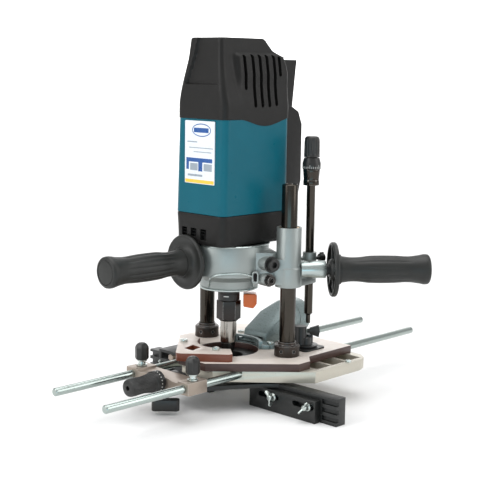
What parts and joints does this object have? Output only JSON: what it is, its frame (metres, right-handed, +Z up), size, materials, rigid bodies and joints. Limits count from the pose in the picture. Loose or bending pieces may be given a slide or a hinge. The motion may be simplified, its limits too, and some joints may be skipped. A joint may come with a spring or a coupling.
{
  "type": "plunge router",
  "caption": "Hand-held plunge router on a phenolic-faced base with two plunge columns, depth stop, dust hood, guide rods and an adjustable side fence.",
  "frame": {"origin": "spindle axis at the sole of the base casting, where the guide bush opens", "axes": "+Z up along the spindle, +X along the guide rods away from the clamp block, +Y towards the rear rod"},
  "size_m": [0.452, 0.2781, 0.362],
  "materials": {
    "cast_alloy": "sand-cast, satin painted",
    "base_alloy": "machined casting",
    "phenolic": "phenolic sheet, pale top face, dark brown edge",
    "black_plastic": "fine moulded texture",
    "housing_black": "fine moulded texture",
    "housing_teal": "smooth satin moulding",
    "black_steel": "black oxide, ground",
    "zinc": "bright zinc plate",
    "steel": "ground steel",
    "grip": "moulded, satin",
    "hood_alloy": "grey-blue painted casting",
    "block_alloy": "champagne anodised",
    "orange": "smooth moulding",
    "label": null,
    "brass": "machined",
    "bronze": "sintered bush",
    "winding": "laminations and lacquered winding",
    "rubber": "moulded"
  },
  "bodies": {
    "base": {"base_casting": "base_alloy", "base_plate": "phenolic", "upper_plate": "phenolic", "guide_bush": "black_plastic", "plate_screws": "zinc", "columns": "black_steel", "column_collars": "black_steel", "grub_screws": "black_steel", "dust_hood": "hood_alloy", "turret_foot": "black_plastic", "side_rail": "black_plastic", "side_bar": "block_alloy", "plunge_springs": "steel"},
    "carriage": {"carriage_casting": "cast_alloy", "column_bushes": "bronze", "clamp_bolts": "black_steel", "lower_housing": "housing_black", "motor_shell": "housing_teal", "top_cap": "housing_black", "label_plate": "label", "rear_box": "housing_black", "rear_riser": "housing_black", "cord_gland": "rubber", "stator": "winding", "brush_holders": "brass", "end_shield": "cast_alloy", "spindle_bearings": "steel", "handle_bosses": "cast_alloy", "right_handle": "grip", "right_end_cap": "grip"},
    "lock_handle": {"left_handle": "grip", "left_lock_stud": "steel", "left_end_cap": "grip"},
    "spindle": {"spindle_shaft": "black_steel", "armature_core": "winding", "commutator": "brass", "cooling_fan": "black_plastic", "collet_nut": "black_steel", "cutter": "steel"},
    "spindle_lock": {"lock_button": "orange"},
    "switch": {"power_rocker": "black_plastic"},
    "stop_rod": {"depth_rod": "black_steel"},
    "stop_scale": {"depth_scale": "black_plastic"},
    "stop_knob": {"depth_knob": "black_plastic"},
    "stop_screw": {"depth_screw": "black_plastic"},
    "stop_turret": {"turret": "black_plastic"},
    "turret_screw": {"turret_wing": "black_plastic"},
    "rods": {"guide_rods": "zinc"},
    "rod_clamp": {"clamp_block": "block_alloy"},
    "clamp_knob_front": {"block_knob_front": "black_plastic"},
    "clamp_knob_rear": {"block_knob_rear": "black_plastic"},
    "clamp_knob_lower": {"lower_knob": "black_plastic"},
    "micrometer": {"micro_knob": "black_plastic"},
    "fence": {"fence_body": "black_plastic"},
    "front_jaw": {"jaw_front": "black_plastic"},
    "rear_jaw": {"jaw_rear": "black_plastic"},
    "wing_a": {"wing_screw_1": "zinc"},
    "wing_b": {"wing_screw_2": "zinc"},
    "wing_c": {"wing_screw_3": "zinc"},
    "wing_d": {"wing_screw_4": "zinc"}
  },
  "joints": [
    {"name": "plunge", "type": "slide", "parent": "base", "child": "carriage", "axis": [0, 0, 1], "range_m": [-0.024, 0], "stiffness_N_per_m": 900, "springref_m": 0.06, "deforming": ["plunge_springs"]},
    {"name": "lock_twist", "type": "hinge", "parent": "carriage", "child": "lock_handle", "pos_m": [-0.0476, 0.0145, 0.1129], "axis": [-0.9984, 0.056, 0], "range_deg": [0, 50]},
    {"name": "spindle_spin", "type": "hinge", "parent": "carriage", "child": "spindle", "pos_m": [0, 0, 0.1], "axis": [0, 0, 1], "continuous": true},
    {"name": "lock_press", "type": "slide", "parent": "carriage", "child": "spindle_lock", "axis": [-0.7071, 0.7071, 0], "range_m": [0, 0.0015], "stiffness_N_per_m": 600, "springref_m": -0.003},
    {"name": "rocker_tilt", "type": "hinge", "parent": "carriage", "child": "switch", "pos_m": [0.078, 0, 0.2145], "axis": [0, 1, 0], "range_deg": [-8, 0]},
    {"name": "stop_rod_slide", "type": "slide", "parent": "carriage", "child": "stop_rod", "axis": [0, 0, 1], "range_m": [0, 0.03]},
    {"name": "stop_scale_turn", "type": "hinge", "parent": "stop_rod", "child": "stop_scale", "pos_m": [0.057, -0.058, 0.21], "axis": [0, 0, 1], "continuous": true},
    {"name": "stop_knob_turn", "type": "hinge", "parent": "stop_rod", "child": "stop_knob", "pos_m": [0.057, -0.058, 0.226], "axis": [0, 0, 1], "continuous": true},
    {"name": "stop_screw_turn", "type": "hinge", "parent": "carriage", "child": "stop_screw", "pos_m": [0.0643, -0.06, 0.114], "axis": [0.9781, -0.2079, 0], "range_deg": [0, 180]},
    {"name": "turret_turn", "type": "hinge", "parent": "base", "child": "stop_turret", "pos_m": [0.062, -0.052, 0.024], "axis": [0, 0, 1], "range_deg": [-20, 10]},
    {"name": "turret_screw_turn", "type": "hinge", "parent": "stop_turret", "child": "turret_screw", "pos_m": [0.059, -0.0466, 0.037], "axis": [0.682, -0.7314, 0], "range_deg": [0, 180]},
    {"name": "rods_slide", "type": "slide", "parent": "base", "child": "rods", "axis": [1, 0, 0], "range_m": [-0.06, 0.006]},
    {"name": "clamp_slide", "type": "slide", "parent": "rods", "child": "rod_clamp", "axis": [1, 0, 0], "range_m": [-0.04, 0.006]},
    {"name": "clamp_front_turn", "type": "hinge", "parent": "rod_clamp", "child": "clamp_knob_front", "pos_m": [-0.093, -0.046, 0.02], "axis": [0, 0, 1], "range_deg": [0, 270]},
    {"name": "clamp_rear_turn", "type": "hinge", "parent": "rod_clamp", "child": "clamp_knob_rear", "pos_m": [-0.093, 0.027, 0.02], "axis": [0, 0, 1], "range_deg": [0, 270]},
    {"name": "clamp_lower_turn", "type": "hinge", "parent": "rod_clamp", "child": "clamp_knob_lower", "pos_m": [-0.093, -0.008, -0.015], "axis": [0, 0, 1], "range_deg": [0, 180]},
    {"name": "micrometer_turn", "type": "hinge", "parent": "rod_clamp", "child": "micrometer", "pos_m": [-0.11, -0.008, 0.0065], "axis": [1, 0, 0], "range_deg": [-180, 1440]},
    {"name": "fence_slide", "type": "slide", "parent": "rod_clamp", "child": "fence", "axis": [1, 0, 0], "range_m": [-0.00115, 0.0089]},
    {"name": "front_jaw_slide", "type": "slide", "parent": "fence", "child": "front_jaw", "axis": [0, 1, 0], "range_m": [-0.01, 0.0045]},
    {"name": "rear_jaw_slide", "type": "slide", "parent": "fence", "child": "rear_jaw", "axis": [0, 1, 0], "range_m": [-0.01, 0.01]},
    {"name": "wing_a_turn", "type": "hinge", "parent": "fence", "child": "wing_a", "pos_m": [-0.014, -0.073, -0.014], "axis": [1, 0, 0], "range_deg": [0, 180]},
    {"name": "wing_b_turn", "type": "hinge", "parent": "fence", "child": "wing_b", "pos_m": [-0.014, -0.118, -0.014], "axis": [1, 0, 0], "range_deg": [0, 180]},
    {"name": "wing_c_turn", "type": "hinge", "parent": "fence", "child": "wing_c", "pos_m": [-0.014, 0.04, -0.014], "axis": [1, 0, 0], "range_deg": [0, 180]},
    {"name": "wing_d_turn", "type": "hinge", "parent": "fence", "child": "wing_d", "pos_m": [-0.014, 0.084, -0.014], "axis": [1, 0, 0], "range_deg": [0, 180]}
  ],
  "couplings": [
    {"joint": "fence_slide", "follows": "micrometer_turn", "m_per_rad": 0.00031831}
  ]
}
